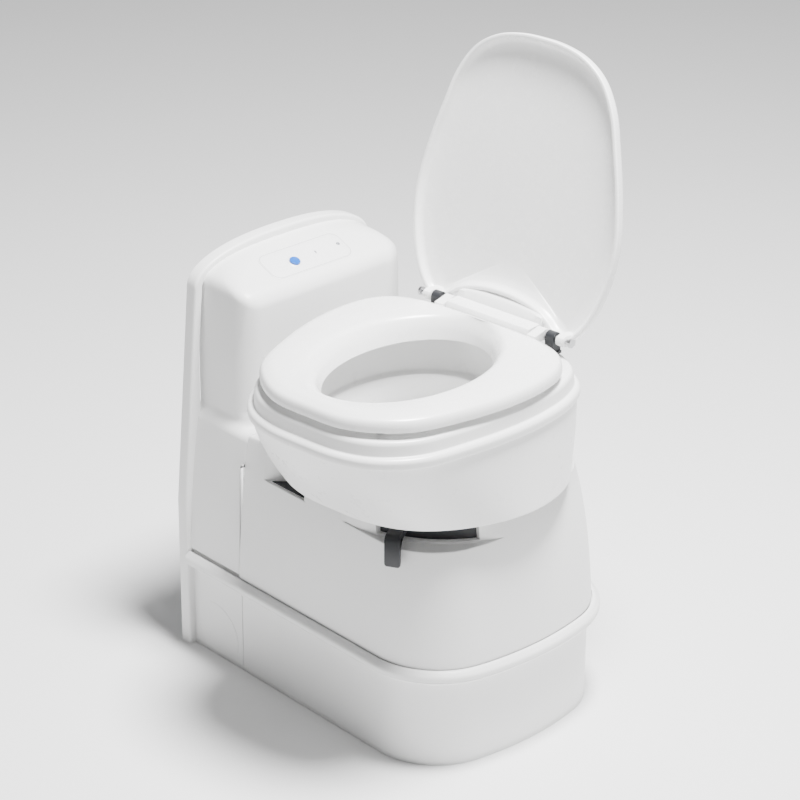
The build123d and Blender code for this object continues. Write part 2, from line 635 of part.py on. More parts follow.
def make_grip():
    """Folding carrying grip on the cassette's rear end."""
    y = CAS_Y1 + 8
    pins = Location((0, y, 193), (0, 90, 0)) * Cylinder(3.2, 148)
    arms = block(-50, -42, y - 4, y + 4, 128, 193) + block(42, 50, y - 4, y + 4, 128, 193)
    bar = Location((0, y, 128), (0, 90, 0)) * Cylinder(6, 100)
    mid = Location((0, y, 193), (0, 90, 0)) * Cylinder(6, 100)
    return pins + arms + bar + mid


def make_float():
    """Level float on its arm, inside the tank."""
    arm = block(-60, 20, -302, -298, 208, 213)
    bob = cyl(16, 196, 206, 30, -300)
    post = block(12, 34, -303, -297, 205, 213)
    eye = Location((-60, -300, 210.5), (90, 0, 0)) * Cylinder(6, 8)
    bore = Location((-60, -300, 210.5), (90, 0, 0)) * Cylinder(2.55, 20)
    return arm + bob + post + eye - bore


# ---------------------------------------------------------------------------
# Small pieces of the base
# ---------------------------------------------------------------------------
def make_bearing_ring():
    """Low-friction ring on the deck that carries the turning collar."""
    return at_axis(tube(152, 123.06, DECK_Z, 366.4))


def make_guides():
    out = []
    for s in (-1, 1):
        foot = block(s * 171 - 6, s * 171 + 6, -440, -24, 0, 4)
        rail = block(s * 169.5 - 2, s * 169.5 + 2, -440, -24, 3, 60)
        out.append(foot + rail)
    return group(out)


def make_button():
    b = Cylinder(8.34, 9.0)
    b = soft(b, b.faces().sort_by(Axis.Z)[-1].edges(), 1.6)
    return panel_at(b, BUTTON_X, -0.4, BUTTON_UP)


def make_bezel():
    b = Cylinder(12.5, 2.2) - Cylinder(8.4, 4)
    body = Location((0, 0, -1.1)) * b + Location((0, 0, -6.2)) * (Cylinder(9.1, 8.2) - Cylinder(8.4, 9))
    return panel_at(body, BUTTON_X, 2.25, BUTTON_UP)


def make_label():
    p = extrude(RectangleRounded(150, 54, 14), 1.0)
    p = p - Location((BUTTON_X - LABEL_X, BUTTON_UP - LABEL_UP, 0)) * Cylinder(12.7, 8)
    p = p - Location((LENS_X - LABEL_X, LENS_UP - LABEL_UP, 0)) * Cylinder(3.2, 8)
    return panel_at(p, LABEL_X, -0.05, LABEL_UP)


def make_lens():
    b = Cylinder(3.0, 6.0)
    return panel_at(b, LENS_X, -1.7, LENS_UP)


def make_board():
    p = block(-62, 70, -86, -60, 0, 1.6)
    chips = block(-20, 20, -80, -68, 1.6, 5) + block(40, 54, -78, -70, 1.6, 9)
    lift = Location((0, 0, 556))
    brackets = block(-62, -56, -86, -60, -30, 0) + block(64, 70, -86, -60, -30, 0)
    return lift * (p + chips + brackets)


def make_valve():
    """Flush solenoid valve with its bracket and coil."""
    coil = cyl(16, 452, 490, -80, -66)
    body = block(-104, -56, -82, -50, 430, 452)
    stub = Location((-52, -66, 440), (0, 90, 0)) * Cylinder(8, 16)
    plate_ = block(-110, -50, -50, -46, 424, 500)
    return coil + body + stub + plate_


def pipe_path(pts, r, wall):
    path = FilletPolyline(*pts, radius=16)
    start = path @ 0
    d = path % 0
    pl = Plane(origin=start, z_dir=d)
    outer = sweep(pl * Circle(r), path=path)
    inner = sweep(pl * Circle(r - wall), path=path)
    return outer - inner


def make_screws(spots, head_r, shank_r, length, direction):
    """Pan-head screws: spots are head seats, direction is the way the shank points."""
    out = []
    for p in spots:
        pl = Plane(origin=p, z_dir=direction)
        s = pl * (Location((0, 0, length / 2)) * Cylinder(shank_r, length))
        h = pl * (Location((0, 0, -1.5)) * (Cylinder(head_r, 3) - Location((0, 0, -1.6)) * Box(head_r * 1.3, 1, 1.6)))
        out.append(s + h)
    return group(out)


if __name__ == "__main__":
    save("front_housing", make_front_housing())
    save("bumper_bead", make_bead())
    save("rear_console", make_console())
    save("bearing_ring", make_bearing_ring())
    save("cassette_guides", make_guides())
    save("panel_label", make_label())
    save("switch_bezel", make_bezel())
    save("level_lens", make_lens())
    save("control_board", make_board())
    save("flush_valve", make_valve())
    save("supply_hose", pipe_path([(-44, -66, 440), (30, -66, 440), (30, -66, 400), (30, -30, 360)], 7.9, 2.4))
    save("wall_screws", make_screws([(x, -14, z) for x, z in screw_spots()], 4.6, 2.55, 14, (0, 1, 0)))
    save("floor_screws", make_screws([(-150, -470, 5), (150, -470, 5)], 6.5, 3.1, 5, (0, 0, -1)))
    save("flush_button", make_button())
    save("bowl_skirt", make_bowl_shell())
    save("bowl_basin", make_basin())
    save("turn_collar", make_turn_collar())
    save("hinge_posts", make_hinge_posts())
    save("hinge_pins", make_hinge_pins())
    save("hinge_cover", make_hinge_cover())
    save("seat_ring", make_seat())
    save("seat_bumpers", make_pads(STEP_Z + 0.05, SEAT_Z + 9, [(222, 92), (222, -92), (-20, 158), (-20, -158)], 7))
    save("lid_cover", make_lid())
    save("lever_drum", make_lever_drum())
    save("lever_tab", make_lever_tab())
    save("cassette_tank", make_tank())
    save("mechanism_plate", make_mechanism())
    save("lip_seal", make_lip_seal())
    save("sealing_blade", make_blade())
    save("pour_spout", make_spout())
    save("spout_cap", make_spout_cap())
    save("vent_plunger", make_vent())
    save("cassette_grip", make_grip())
    save("level_float", make_float())
    save("wheel_left", make_wheel(-1))
    save("wheel_right", make_wheel(1))
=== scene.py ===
import math
import bmesh
import bpy
import numpy as np
from mathutils import Matrix, Vector


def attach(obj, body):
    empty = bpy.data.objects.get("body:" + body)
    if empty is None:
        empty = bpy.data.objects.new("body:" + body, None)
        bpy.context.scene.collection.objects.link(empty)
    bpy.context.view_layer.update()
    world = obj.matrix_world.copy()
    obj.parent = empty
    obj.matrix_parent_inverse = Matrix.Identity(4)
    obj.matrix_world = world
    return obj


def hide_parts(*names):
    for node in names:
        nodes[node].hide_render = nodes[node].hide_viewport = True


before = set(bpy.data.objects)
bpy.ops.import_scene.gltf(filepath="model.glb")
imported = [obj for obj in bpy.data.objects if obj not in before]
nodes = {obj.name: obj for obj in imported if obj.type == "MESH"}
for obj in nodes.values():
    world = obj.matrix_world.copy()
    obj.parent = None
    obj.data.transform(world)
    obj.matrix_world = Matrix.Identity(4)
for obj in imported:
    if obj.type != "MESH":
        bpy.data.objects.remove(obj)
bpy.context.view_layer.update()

# ---------------------------------------------------------------------------
# Front housing.  One injection moulding in white plastic, 3 mm thick: a plinth,
# tapering sides, a dished deck the bowl turns in, and a turned ledge with a
# slot for the flush lever.  It is screwed to the floor through two inner lugs.
# ---------------------------------------------------------------------------
MM = 0.001
AXIS_Y = -345.0
SEAM_Y = -131.0
DECK_Z, SHOULDER_Z, LEDGE_Z = 364.0, 379.0, 328.0


def moulded_plastic(name, colour, rough=0.42, coat=0.0, grain=0.25, tint=0.03, grain_size=1400.0):
    """White or coloured moulded plastic with fine grain, faint mottling and rubbed patches."""
    mat = bpy.data.materials.new(name)
    mat.use_nodes = True
    nt = mat.node_tree
    shader = nt.nodes["Principled BSDF"]
    shader.inputs["IOR"].default_value = 1.48
    shader.inputs["Coat Weight"].default_value = coat
    shader.inputs["Coat Roughness"].default_value = 0.30
    place = nt.nodes.new("ShaderNodeTexCoord")
    cloud = nt.nodes.new("ShaderNodeTexNoise")
    cloud.inputs["Scale"].default_value = 6.0
    cloud.inputs["Detail"].default_value = 5.0
    nt.links.new(place.outputs["Object"], cloud.inputs["Vector"])
    tone = nt.nodes.new("ShaderNodeValToRGB")
    tone.color_ramp.elements[0].position = 0.3
    tone.color_ramp.elements[1].position = 0.72
    tone.color_ramp.elements[0].color = [c * (1 - tint) for c in colour] + [1]
    tone.color_ramp.elements[1].color = [min(1.0, c * (1 + tint * 0.4)) for c in colour] + [1]
    nt.links.new(cloud.outputs["Fac"], tone.inputs["Fac"])
    nt.links.new(tone.outputs["Color"], shader.inputs["Base Color"])
    rub = nt.nodes.new("ShaderNodeTexNoise")
    rub.inputs["Scale"].default_value = 38.0
    rub.inputs["Detail"].default_value = 6.0
    rub.inputs["Roughness"].default_value = 0.7
    nt.links.new(place.outputs["Object"], rub.inputs["Vector"])
    span = nt.nodes.new("ShaderNodeMapRange")
    span.inputs["From Min"].default_value = 0.3
    span.inputs["From Max"].default_value = 0.75
    span.inputs["To Min"].default_value = rough - 0.05
    span.inputs["To Max"].default_value = rough + 0.07
    nt.links.new(rub.outputs["Fac"], span.inputs["Value"])
    nt.links.new(span.outputs["Result"], shader.inputs["Roughness"])
    fine = nt.nodes.new("ShaderNodeTexNoise")
    fine.inputs["Scale"].default_value = grain_size
    fine.inputs["Detail"].default_value = 2.0
    nt.links.new(place.outputs["Object"], fine.inputs["Vector"])
    bump = nt.nodes.new("ShaderNodeBump")
    bump.inputs["Strength"].default_value = grain
    bump.inputs["Distance"].default_value = 0.00006
    nt.links.new(fine.outputs["Fac"], bump.inputs["Height"])
    nt.links.new(bump.outputs["Normal"], shader.inputs["Normal"])
    return mat


def rounded_rails(rails, radii, steps=5, longest=14.0):
    """Rows of points that follow the rails, with the corner at each rail rounded off."""
    rails = np.asarray(rails, float)
    rows = [rails[0]]
    for k in range(1, len(rails) - 1):
        a, p, b = rails[k - 1], rails[k], rails[k + 1]
        la = np.linalg.norm(a - p, axis=1, keepdims=True)
        lb = np.linalg.norm(b - p, axis=1, keepdims=True)
        d = np.minimum(radii[k], 0.49 * np.minimum(la, lb))
        s = p + (a - p) / np.maximum(la, 1e-9) * d
        e = p + (b - p) / np.maximum(lb, 1e-9) * d
        if radii[k] <= 0:
            rows.append(p)
            continue
        for i in range(steps + 1):
            t = i / steps
            rows.append((1 - t) ** 2 * s + 2 * t * (1 - t) * p + t * t * e)
    rows.append(rails[-1])
    full = [rows[0]]
    for a, b in zip(rows, rows[1:]):
        n = max(1, math.ceil(np.linalg.norm(b - a, axis=1).max() / longest))
        full += [a + (b - a) * i / n for i in range(1, n + 1)]
    return np.array(full)


def skin(name, sheets, material, body, slot, stands_for=(), wall=0.0, keep=None, crease=38.0):
    """A piece from sheets of points (rows, closed round or not), welded, with an optional wall."""
    verts, faces, base = [], [], 0
    for rows, closed in sheets:
        k, n = rows.shape[:2]
        i = np.arange(k - 1)[:, None]
        j = np.arange(n if closed else n - 1)[None, :]
        a = base + i * n + j
        b = base + i * n + (j + 1) % n
        faces.append(np.stack([a, b, b + n, a + n], -1).reshape(-1, 4))
        verts.append(rows.reshape(-1, 3))
        base += k * n
    me = bpy.data.meshes.new(name)
    me.from_pydata((np.concatenate(verts) * MM).tolist(), [], np.concatenate(faces).tolist())
    bm = bmesh.new()
    bm.from_mesh(me)
    bmesh.ops.remove_doubles(bm, verts=bm.verts, dist=3e-5)
    bmesh.ops.dissolve_degenerate(bm, dist=1e-6, edges=bm.edges)
    if keep:
        gone = [f for f in bm.faces if not keep(f.calc_center_median() / MM)]
        bmesh.ops.delete(bm, geom=gone, context="FACES")
    bmesh.ops.recalc_face_normals(bm, faces=bm.faces)
    for f in bm.faces:
        f.smooth = True
    bm.to_mesh(me)
    bm.free()
    me.set_sharp_from_angle(angle=math.radians(crease))
    me.materials.append(material)
    obj = bpy.data.objects.new(name, me)
    bpy.context.scene.collection.objects.link(obj)
    if wall:
        mod = obj.modifiers.new("wall", "SOLIDIFY")
        mod.thickness = wall * MM
        mod.offset = -1.0
    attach(obj, body)
    if stands_for:
        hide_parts(*stands_for)
    return obj


def housing_loop(w, length, r1, r2, z, y_back=SEAM_Y, back=60):
    """Plan outline of the front: straight sides, round corners, a bowed front, closed at the back."""
    c0 = -length + r2
    cx = w - r1
    cy = c0 - math.sqrt((r2 - r1) ** 2 - cx ** 2)
    turn = math.atan2(cy - c0, cx)
    right = [(w, y_back + (cy - y_back) * i / 60) for i in range(60)]
    right += [(cx + r1 * math.cos(turn * i / 50), cy + r1 * math.sin(turn * i / 50)) for i in range(50)]
    span = [turn + (-math.pi / 2 - turn) * i / 30 for i in range(31)]
    right += [(r2 * math.cos(a), c0 + r2 * math.sin(a)) for a in span]
    left = [(-x, y) for x, y in reversed(right[:-1])]
    rear = [(-w + 2 * w * (i + 1) / (back + 1), y_back) for i in range(back)]
    return np.array([(x, y, z) for x, y in right + left + rear])


# half-width, depth and corner radii of the tapering shell against height
TAPER_Z = [157.0, 230.0, 300.0, 345.0, 379.0]
TAPER_W = np.polyfit(TAPER_Z, [187.0, 183.5, 176.5, 170.5, 164.0], 3)
TAPER_L = np.polyfit(TAPER_Z, [547.0, 541.0, 530.0, 519.0, 508.0], 3)


def shell_loop(z):
    w, length = np.polyval(TAPER_W, z), np.polyval(TAPER_L, z)
    return housing_loop(w, length, w - 75.0, length - 74.0, z)


def toward_axis(loop, reach):
    """The loop's points drawn in toward the swivel axis to at most the given radius."""
    d = loop[:, :2] - np.array([0.0, AXIS_Y])
    r = np.linalg.norm(d, axis=1)
    out = loop.copy()
    out[:, :2] = np.array([0.0, AXIS_Y]) + d * (np.minimum(r, reach) / r)[:, None]
    return out


def ledge_reach(degrees):
    """Radius of the lever ledge's wall about the swivel axis, by direction."""
    return 172.0 + 8.0 * (degrees - 187) / 61.0


SCOOP_REACH = 166.0
NO_CUT = 1e4
SLOT_DEPTH = 11.0
white = moulded_plastic("housing_white", (0.83, 0.83, 0.825), 0.40, 0.10, 0.30)
rim_loop = shell_loop(LEDGE_Z)
aim = np.degrees(np.arctan2(rim_loop[:, 1] - AXIS_Y, rim_loop[:, 0])) % 360
ledge = np.where((aim > 180) & (aim < 272), ledge_reach(aim), NO_CUT)
ledge = np.where((aim > 136) & (aim < 153), SCOOP_REACH, ledge)
rim_reach = np.linalg.norm(rim_loop[:, :2] - np.array([0.0, AXIS_Y]), axis=1)
slot_in = np.where((aim > 199) & (aim < 250) & (ledge < rim_reach - 9.0), SLOT_DEPTH, 0.0)
at_back = np.arange(len(rim_loop)) >= len(rim_loop) - 60
rails, radii = [], []
for z in (0.0, 140.0, 156.0):
    rails.append(housing_loop(182.0, 542.0, 107.0, 468.0, z))
    radii.append(1.0)
for z in list(range(157, 325, 12)) + [325.0]:
    rails.append(shell_loop(z))
    radii.append(0.0)
rails.append(rim_loop)
radii.append(3.0)
for z, deep, r in ((LEDGE_Z, 0, 2.5), (LEDGE_Z + 3, 0, 1.0), (LEDGE_Z + 3.2, 1, 0.0), (358.6, 1, 0.0),
                   (359.0, 0, 1.0)):
    loop = toward_axis(shell_loop(z), ledge - deep * slot_in)
    rails.append(loop)
    radii.append(r)
top_z = DECK_Z + 15.0 * np.clip((np.linalg.norm(shell_loop(370)[:, :2] - [0, AXIS_Y], axis=1) - 224) / 5, 0, 1)
crown = shell_loop(DECK_Z)
high = shell_loop(SHOULDER_Z)
k = ((top_z - DECK_Z) / 15.0)[:, None]
crown = crown * (1 - k) + high * k
crown = toward_axis(crown, ledge)
rails.append(crown)
radii.append(5.0)
for reach, z, r in ((229.5, top_z, 2.0), (226.0, DECK_Z, 2.5), (128.0, DECK_Z, 3.0), (128.0, 348.0, 0.0)):
    loop = toward_axis(crown, reach)
    loop[:, 2] = z
    rails.append(loop)
    radii.append(r)
for loop in rails:
    loop[at_back, 2] = np.maximum(loop[at_back, 2], 335.0)
skin("front_housing_shell", [(rounded_rails(rails, radii, 5, 9.0), True)], white, "base",
     "housing_white", ["front_housing"], wall=2.8)

# ---------------------------------------------------------------------------
# Painted shade behind the lever slot.  A charcoal strip inside the housing
# stands for the shadow in the slot round the lever.
# ---------------------------------------------------------------------------
charcoal = moulded_plastic("charcoal_lever", (0.016, 0.017, 0.02), 0.5, 0.0, 0.4, 0.2)
arc = [math.radians(198 + 51 * i / 60) for i in range(61)]
slot_shade_rows = []
for off, z in ((0, 331.6), (0, 358.4), (2, 358.4), (2, 331.6), (0, 331.6)):
    slot_shade_rows.append([((ledge_reach(math.degrees(a)) - 7 - off) * math.cos(a),
                   AXIS_Y + (ledge_reach(math.degrees(a)) - 7 - off) * math.sin(a), z) for a in arc])
# the charcoal strip is painted shade in the lever slot
skin("lever_slot_painted_shade", [(np.array(slot_shade_rows), False)], charcoal, "base", "charcoal")

# ---------------------------------------------------------------------------
# Painted shade in the finger scoop.  A charcoal wall and a thin charcoal pan
# in the recess on the housing's left side stand for the shadow under the bowl.
# ---------------------------------------------------------------------------
scoop_arc = [math.radians(136.6 + 15.8 * i / 24) for i in range(25)]
scoop_shade_wall_rows = [[(r * math.cos(a), AXIS_Y + r * math.sin(a), z) for a in scoop_arc]
         for r, z in ((166.4, 330.5), (166.4, 361.0), (168.2, 361.0), (168.2, 330.5), (166.4, 330.5))]
# the charcoal wall is painted shade at the back of the scoop
skin("scoop_painted_shade_wall", [(np.array(scoop_shade_wall_rows), False)], charcoal, "base", "charcoal")
pan = []
for outer, z in ((0, 328.3), (0, 329.4), (1, 329.4), (1, 328.3), (0, 328.3)):
    row = []
    for a in scoop_arc:
        reach = 168.4 + outer * (-171.0 / math.cos(a) - 172.4)
        row.append((reach * math.cos(a), AXIS_Y + reach * math.sin(a), z))
    pan.append(row)
# the charcoal pan is painted shade on the scoop's floor
skin("scoop_painted_shade_floor", [(np.array(pan), False)], charcoal, "base", "charcoal")

# ---------------------------------------------------------------------------
# Bumper bead.  A soft-cornered white extrusion clipped round the plinth and
# along both sides of the console, with a fine line near its lower edge and a
# joint where the housing meets the console.
# ---------------------------------------------------------------------------
def bead_loop(off, z):
    loop = housing_loop(182.0 + off, 542.0 + off, 107.0 + off, 468.0 + off, z, y_back=-20.0, back=2)[:-2]
    y = loop[:, 1]
    nick = np.exp(-((y + 143.5) / 1.6) ** 2) * (1.2 if off > 8 else 0.0)
    loop[:, 0] -= np.sign(loop[:, 0]) * nick
    return loop


bead_section = ((-1, 139, 0), (15.2, 139, 1.2), (17.0, 142.8, 0.5), (16.2, 143.4, 0.3), (17.8, 144.2, 0.6),
                (18.0, 151.0, 5.0), (10.5, 157.2, 4.0), (6.4, 157.2, 0.6), (6.2, 152.0, 0.3), (-1, 152.0, 0))
bead_rails = [bead_loop(out, z) for out, z, _ in bead_section]
bead_sheet = rounded_rails(bead_rails, [r for _, _, r in bead_section], 5, 9.0)
skin("bumper_bead_strip", [(bead_sheet, False)], white, "base", "housing_white", ["bumper_bead"])

# ---------------------------------------------------------------------------
# Rear console.  White moulding that stands against the wall: a lower box in
# line with the housing, a narrower upper part with soft corners and a sloping
# control panel.  It is hollow, open at the wall and open to the housing below.
# ---------------------------------------------------------------------------
def round_max(a, b, r):
    return np.minimum(np.maximum(a, b), -r) + np.hypot(np.maximum(a + r, 0), np.maximum(b + r, 0))


def soft_min(a, b, k):
    h = np.clip(0.5 + 0.5 * (b - a) / k, 0, 1)
    return b * (1 - h) + a * h - k * h * (1 - h)


BAY_Z = [0.0, 157.0, 163.0, 230.0, 300.0, 345.0, 379.0]
BAY_W = [182.0, 182.0, 186.6, 183.5, 176.5, 170.5, 164.5]


def arch_half(z, inset):
    return 193.0 - inset - 28.0 * np.clip((z - 236.0) / 328.0, 0, 1)


def console_depth(x, y, z):
    """Negative inside the console, zero on its surface."""
    ax = np.abs(x)
    plan = 165.0 - 1.0 * (-y / 90.0) - 22.0 * np.clip((-y - 85.0) / 40.0, 0, 2) ** 2
    side = ax - np.minimum(plan, arch_half(z, 9.0))
    top = np.maximum(z - 564.0, 0)
    arch = ((ax / 156.0) ** 2.33 + (top / 47.0) ** 2.33) ** (1 / 2.33)
    arch = (arch - 1.0) * 90.0
    front = -y - (117.0 - (z - 400.0) * 3.0 / 174.0 + np.clip(400.0 - z, 0, 40) * 0.55)
    panel = (z - (611.0 - np.clip(-20.0 - y, 0, 200) * 37.0 / 94.0)) * 0.9305
    upper = round_max(round_max(side, front, 30.0), round_max(panel, arch, 10.0), 15.0)
    lower = round_max(round_max(ax - np.interp(z, BAY_Z, BAY_W), z - SHOULDER_Z, 12.0), -y - 130.8, 0.7)
    return soft_min(upper, lower, 13.0)


def console_sheet():
    phi = np.linspace(0, math.pi, 221)
    rows = []
    heights = np.concatenate([np.arange(0, 150, 10), np.arange(150, 170, 1.5), np.arange(170, 360, 8),
                              np.arange(360, 412, 2), np.arange(412, 546, 7)])
    for z in heights:
        rows.append((z, np.zeros_like(phi)))
    for e in np.linspace(0, math.pi / 2, 64)[1:]:
        rows.append((546.0, np.full_like(phi, e)))
    out = []
    for z, e in rows:
        dx, dy, dz = -np.cos(phi) * np.cos(e), -np.sin(phi) * np.cos(e), np.sin(e)
        lo, hi = np.zeros_like(phi), np.full_like(phi, 300.0)
        for _ in range(34):
            mid = (lo + hi) / 2
            inside = console_depth(dx * mid, -12.0 + dy * mid, z + dz * mid) < 0
            lo, hi = np.where(inside, mid, lo), np.where(inside, hi, mid)
        out.append(np.stack([dx * lo, -12.0 + dy * lo, z + dz * lo], -1))
    return np.array(out)


def arch_loop(inset, y, inner=False):
    """Outline of the wall flange in the X-Z plane: sides, flattened arch, closed at the floor."""
    left = []
    for z in list(np.linspace(0, 236, 24)[:-1]) + list(np.linspace(236, 564, 34)[:-1]):
        x = arch_half(z, inset)
        if inner:
            x = min(np.interp(z, BAY_Z, BAY_W) if z < 379 else 164.5, arch_half(z, 9.0)) - 3.0
        left.append((-x, z))
    ws = 165.0 - (12.0 if inner else inset)
    ht = 620.0 - (12.0 if inner else inset) - 564.0
    for i in range(61):
        t = math.pi * i / 120
        left.append((-ws * math.cos(t) ** (2 / 2.33), 564.0 + ht * math.sin(t) ** (2 / 2.33)))
    pts = left + [(-x, z) for x, z in reversed(left[:-1])]
    return np.array([(x, y, z) for x, z in pts])


def in_console(c):
    return not (c.y < -127.5 and c.z < 335 and abs(c.x) < np.interp(c.z, BAY_Z, BAY_W) - 3.5)


flange_rails = [arch_loop(0, 0, True), arch_loop(0, 0), arch_loop(0, -20), arch_loop(0, -20, True),
                arch_loop(0, 0, True)]
flange = rounded_rails(flange_rails, [0, 1.0, 5.0, 0.5, 0], 6, 10.0)
skin("rear_console_cover", [(console_sheet(), False)], white, "base", "housing_white",
     ["rear_console"], wall=2.8, keep=in_console)
skin("wall_flange", [(flange, False)], white, "base", "housing_white")

# ---------------------------------------------------------------------------
# Pipe knock-out on the console's side.  A thin round line moulded in the wall,
# to be cut out where a supply pipe has to pass.
# ---------------------------------------------------------------------------
ring = []
for r, lift in ((50.4, -0.3), (50.2, 0.35), (51.4, 0.35), (51.2, -0.3)):
    ring.append([(-182.0 - lift, -68.0 + r * math.cos(a), 35.0 + r * math.sin(a))
                 for a in np.radians(np.linspace(-38, 180 + 30, 90)) if -68.0 + r * math.cos(a) < -21])
short = min(len(r) for r in ring)
skin("pipe_knockout_line", [(np.array([r[-short:] for r in ring]), False)], white, "base", "housing_white")

# ---------------------------------------------------------------------------
# Control panel.  A satin film label bonded in a shallow recess, a blue flush
# button in a white bezel, a small level lens and a plain drop mark.
# ---------------------------------------------------------------------------
TILT = math.atan2(37, 94)
PANEL = Vector((0.0, -66.0, 574.0 + 37.0 * 48.0 / 94.0))


def on_panel(x, s, lift):
    """A point on the sloping panel: x across, s up the slope, lift off its surface."""
    return (PANEL.x + x, PANEL.y + s * math.cos(TILT) - lift * math.sin(TILT),
            PANEL.z + s * math.sin(TILT) + lift * math.cos(TILT))


def round_rect(hx, hy, r, n=12):
    pts = []
    for cx, cy, a0 in ((hx - r, hy - r, 0), (-hx + r, hy - r, 90), (-hx + r, -hy + r, 180), (hx - r, -hy + r, 270)):
        pts += [(cx + r * math.cos(math.radians(a0 + 90 * i / n)), cy + r * math.sin(math.radians(a0 + 90 * i / n)))
                for i in range(n + 1)]
    return pts


LABEL_X, LABEL_S = -4.0, -6.0
film = moulded_plastic("label_film", (0.85, 0.85, 0.85), 0.34, 0.15, 0.12)
label_rows = [[on_panel(LABEL_X + x * k, LABEL_S + s * k, lift) for x, s in round_rect(74.5 + g, 26.5 + g, 14)]
              for k, g, lift in ((1, 0, -0.6), (1, 0, 0.5), (1, -0.8, 0.9), (0.6, -1, 0.9), (0.001, -1, 0.9))]
skin("panel_label_film", [(np.array(label_rows), True)], film, "base", "label_film", ["panel_label"])


def turned(name, profile, place, material, body, slot, stands_for=(), n=64, **more):
    """A turned piece from (radius, height) pairs, put where place(x, y, z) says."""
    rows = [[place(r * math.cos(2 * math.pi * i / n), r * math.sin(2 * math.pi * i / n), h) for i in range(n)]
            for r, h in profile]
    return skin(name, [(np.array(rows), True)], material, body, slot, stands_for, **more)


BUTTON_X, BUTTON_S, LENS_X, LENS_S = -27.7, -9.9, 59.0, -4.5
blue = moulded_plastic("button_blue", (0.0, 0.10, 0.46), 0.28, 0.4, 0.1)
turned("flush_button_cap", [(0.01, -5), (8.1, -5), (8.2, 2.6), (7.9, 3.6), (6.9, 4.3), (4.5, 4.1), (2.0, 3.8),
                            (0.01, 3.7)],
       lambda x, y, h: on_panel(BUTTON_X + x, BUTTON_S + y, h), blue, "button", "button_blue", ["flush_button"])
turned("switch_bezel_ring", [(8.6, -2), (8.6, 1.4), (9.2, 2.0), (10.6, 1.9), (12.2, 1.0), (12.5, -0.4), (8.6, -2)],
       lambda x, y, h: on_panel(BUTTON_X + x, BUTTON_S + y, h), film, "base", "label_film", ["switch_bezel"])
smoke = moulded_plastic("lens_grey", (0.16, 0.17, 0.19), 0.22, 0.6, 0.05)
turned("level_lens_dome", [(0.01, -3), (3.0, -3), (3.0, 0.9), (2.4, 1.5), (1.2, 1.8), (0.01, 1.85)],
       lambda x, y, h: on_panel(LENS_X + x, LENS_S + y, h), smoke, "base", "lens_grey", ["level_lens"], n=32)
edge_ink = moulded_plastic("label_edge", (0.42, 0.42, 0.43), 0.5, 0.0, 0.1)
edge_rows = [[on_panel(LABEL_X + x, LABEL_S + s, lift) for x, s in round_rect(74.5 + g, 26.5 + g, 14)]
             for g, lift in ((-1.0, 0.85), (-1.0, 1.0), (-1.6, 1.0), (-1.6, 0.85), (-1.0, 0.85))]
skin("panel_label_edge", [(np.array(edge_rows), True)], edge_ink, "base", "label_film")
drop = []
for g, lift in ((0, 0.7), (0, 1.05), (-0.35, 1.1), (-1.0, 1.1)):
    row = []
    for i in range(48):
        a = 2 * math.pi * i / 48
        r = (3.4 + g * 3.4) if g > -0.9 else 0.001
        row.append(on_panel(14.0 + r * math.sin(a) * math.cos(a / 2), -6.0 + r * math.cos(a), lift))
    drop.append(row)
grey_ink = moulded_plastic("label_mark", (0.22, 0.23, 0.25), 0.5, 0.0, 0.1)
skin("panel_drop_mark", [(np.array(drop), True)], grey_ink, "base", "label_film")

# ---------------------------------------------------------------------------
# Bowl.  One white moulding: a skirt that widens upward, a bead rim, a step
# above it, and a smooth basin inside with a narrow water ledge.  It turns on
# the collar under it.
# ---------------------------------------------------------------------------
TURN = math.radians(186.0)
FWD = np.array([math.cos(TURN), math.sin(TURN)])
SIDE = np.array([-math.sin(TURN), math.cos(TURN)])


def bowl_place(ring, z):
    """Bowl coordinates (u forward, v left) to the frame."""
    ring = np.asarray(ring, float)
    xy = ring[:, :1] * FWD + ring[:, 1:2] * SIDE + np.array([0.0, AXIS_Y])
    return np.column_stack([xy, np.broadcast_to(z, len(ring))])


def outline(half, n=300, out=0.0, ease=9.0):
    """Closed smooth outline through the points of its left half, moved out along its normals."""
    pts = np.array(list(half) + [(u, -v) for u, v in reversed(half[1:-1])], float)
    m = len(pts)
    dense = []
    for i in range(m):
        p0, p1, p2, p3 = pts[i - 1], pts[i], pts[(i + 1) % m], pts[(i + 2) % m]
        for t in np.arange(40) / 40:
            dense.append(0.5 * (2 * p1 + (p2 - p0) * t + (2 * p0 - 5 * p1 + 4 * p2 - p3) * t * t
                                + (3 * p1 - p0 - 3 * p2 + p3) * t ** 3))
    dense = np.array(dense)
    run = np.concatenate([[0], np.cumsum(np.linalg.norm(np.roll(dense, -1, 0) - dense, axis=1))])
    at = np.linspace(0, run[-1], 1200, endpoint=False)
    wrap = np.vstack([dense, dense[:1]])
    even = np.column_stack([np.interp(at, run, wrap[:, 0]), np.interp(at, run, wrap[:, 1])])
    step = run[-1] / 1200
    w = int(ease * 2.5 / step)
    kern = np.exp(-0.5 * (np.arange(-w, w + 1) * step / ease) ** 2)
    kern /= kern.sum()
    ext = np.vstack([even[-w:], even, even[:w]])
    even = np.column_stack([np.convolve(ext[:, c], kern, "valid") for c in (0, 1)])
    tang = np.roll(even, -1, 0) - np.roll(even, 1, 0)
    tang /= np.linalg.norm(tang, axis=1, keepdims=True)
    even = even + out * np.column_stack([tang[:, 1], -tang[:, 0]])
    return even[:: 1200 // n]


def oval(cu, a, b, n=300):
    t = np.linspace(0, 2 * math.pi, n, endpoint=False)
    return np.column_stack([cu + a * np.cos(t), b * np.sin(t)])


